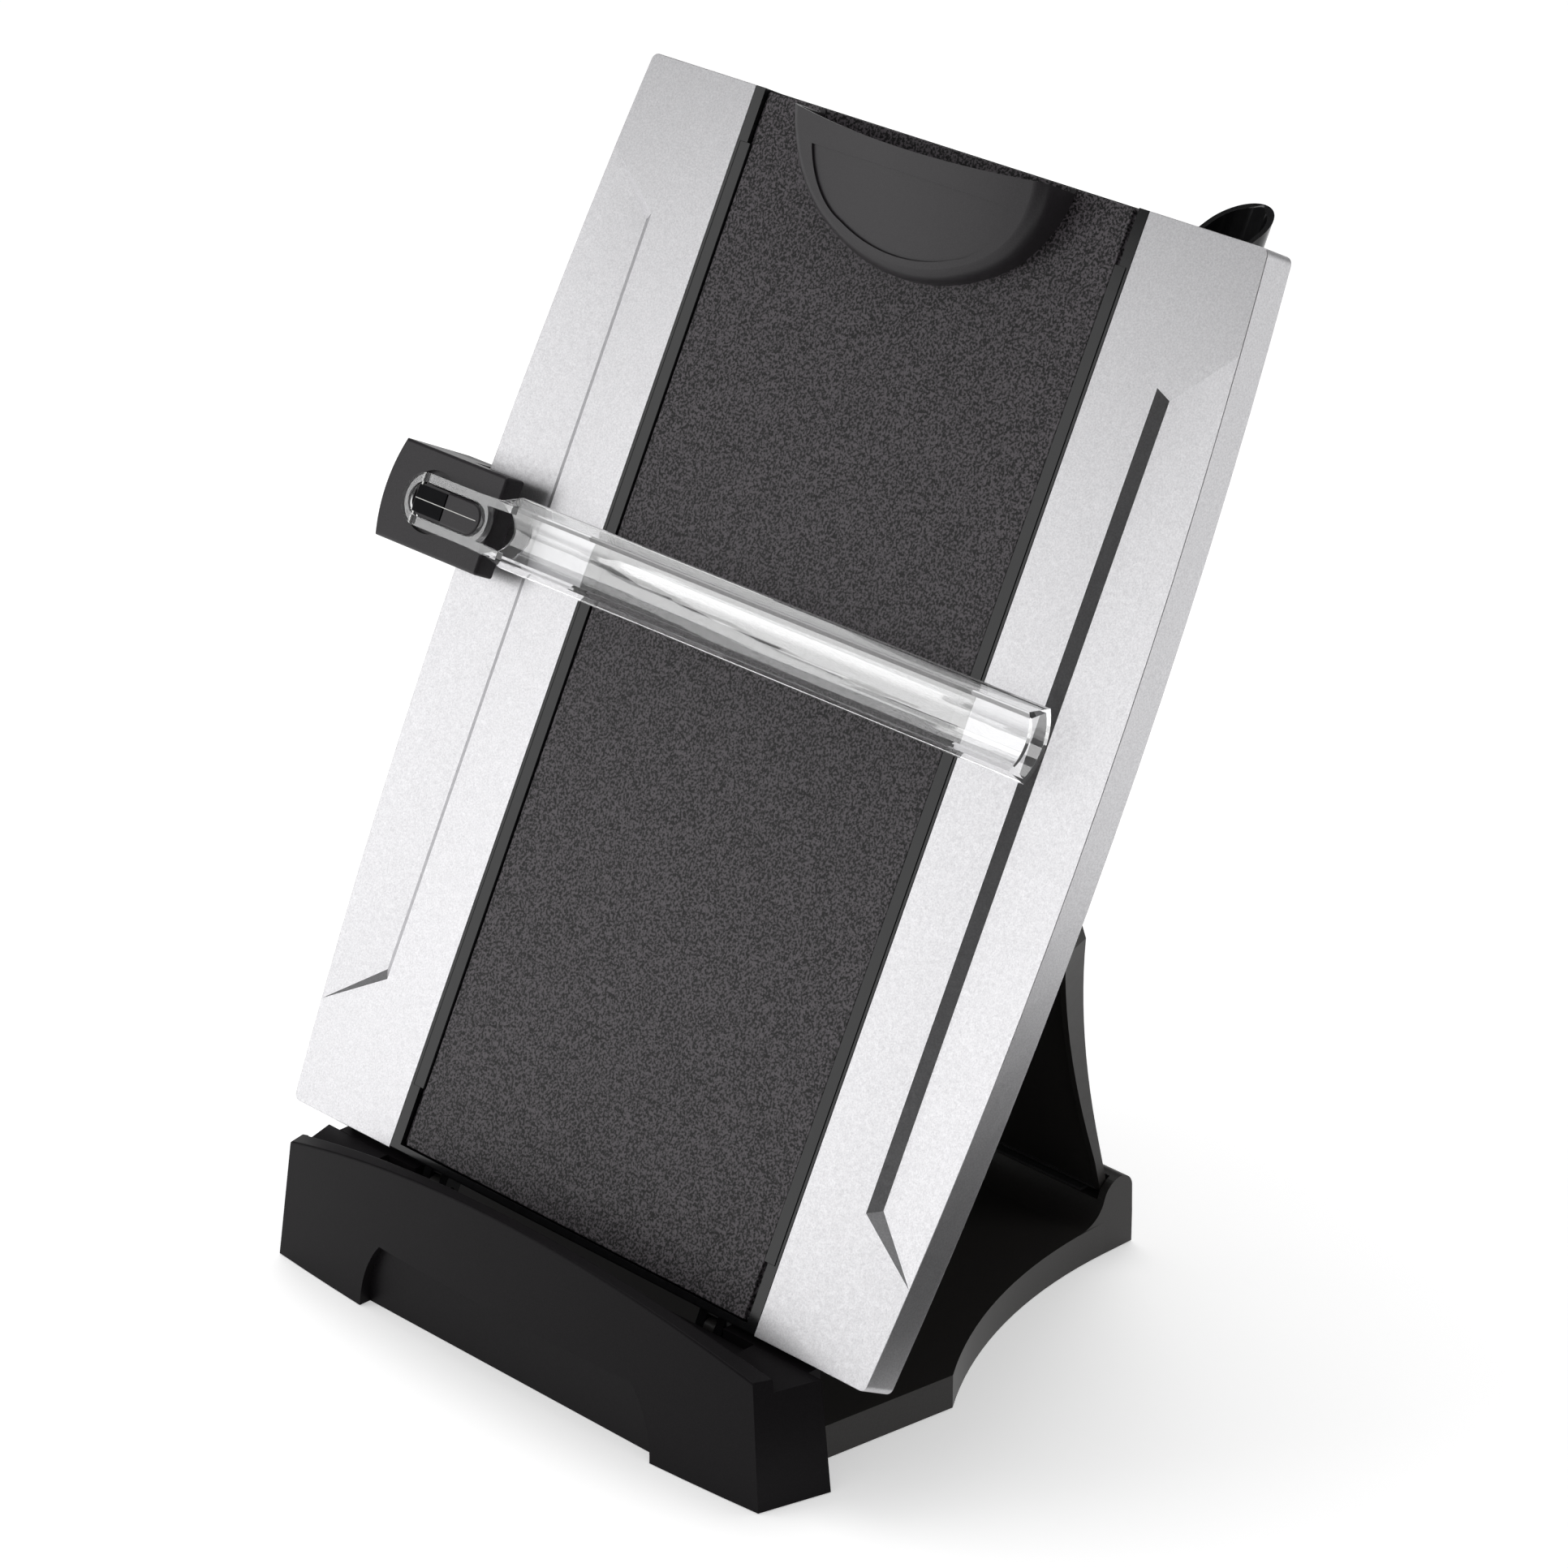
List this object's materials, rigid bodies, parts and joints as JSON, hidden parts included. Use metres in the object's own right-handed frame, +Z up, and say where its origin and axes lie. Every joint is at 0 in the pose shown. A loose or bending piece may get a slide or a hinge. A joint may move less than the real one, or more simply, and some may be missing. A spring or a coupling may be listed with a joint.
{
  "type": "copy holder with line guide",
  "caption": "Folding desk copy holder: leaning board with silver side wings, sliding centre panel, clip cup, pen cup, paper ledge and a clear line guide on a sliding clamp.",
  "frame": {"origin": "on the desk under the front grip strip, on the plane of symmetry of the stand, straight below the bottom edge of the board's face", "axes": "+X to the reader's right, +Y away from the reader, +Z up"},
  "size_m": [0.2907, 0.2237, 0.3391],
  "materials": {
    "black_plastic": "fine matt moulding",
    "satin_black": "satin",
    "gloss_black": "polished moulding",
    "textured_charcoal": "fine grained texture",
    "silver": "metallic silver lacquer, fine speckle",
    "rubber": "matt",
    "steel": "zinc plated",
    "white_slip": "low-friction plastic",
    "clear": "clear acrylic, polished"
  },
  "bodies": {
    "base": {"base_plate": "black_plastic", "front_ledge": "satin_black", "base_screws": "steel", "front_grip_strip": "rubber", "rubber_feet": "rubber", "board_hinge_pins": "black_plastic", "leg_seat_pad": "rubber"},
    "board": {"board_frame": "gloss_black", "left_wing": "silver", "right_wing": "silver", "left_rail": "gloss_black", "right_rail": "gloss_black", "rear_cover": "black_plastic", "board_screws": "steel", "leg_brackets": "black_plastic", "pen_cup": "gloss_black"},
    "panel": {"centre_panel": "textured_charcoal", "panel_stops": "black_plastic", "clip_cup": "satin_black"},
    "leg": {"support_leg": "black_plastic", "leg_foot_strip": "rubber", "leg_hinge_pins": "steel"},
    "clamp": {"clamp_front": "satin_black", "clamp_rear": "satin_black", "clamp_screws": "steel", "clamp_spring": "steel", "clamp_glide_pad": "white_slip", "guide_boss": "gloss_black", "guide_pivot_pin": "steel"},
    "guide": {"line_guide_bar": "clear"}
  },
  "joints": [
    {"name": "board_fold", "type": "hinge", "parent": "base", "child": "board", "pos_m": [0, 0.00304, 0.03096], "axis": [1, 0, 0], "range_deg": [0, 27.34]},
    {"name": "leg_fold", "type": "hinge", "parent": "board", "child": "leg", "pos_m": [0, 0.09456, 0.18347], "axis": [1, 0, 0], "range_deg": [-47.15, 0]},
    {"name": "panel_slide", "type": "slide", "parent": "board", "child": "panel", "axis": [0, 0.4593, 0.8883], "range_m": [0, 0.075]},
    {"name": "clamp_slide", "type": "slide", "parent": "board", "child": "clamp", "axis": [0, 0.4593, 0.8883], "range_m": [-0.115, 0.085]},
    {"name": "guide_lift", "type": "hinge", "parent": "clamp", "child": "guide", "pos_m": [-0.141, 0.07213, 0.20857], "axis": [0, -0.4593, -0.8883], "range_deg": [0, 20]}
  ],
  "couplings": [
    {"joint": "leg_fold", "follows": "board_fold", "ratio": -1.7242}
  ]
}
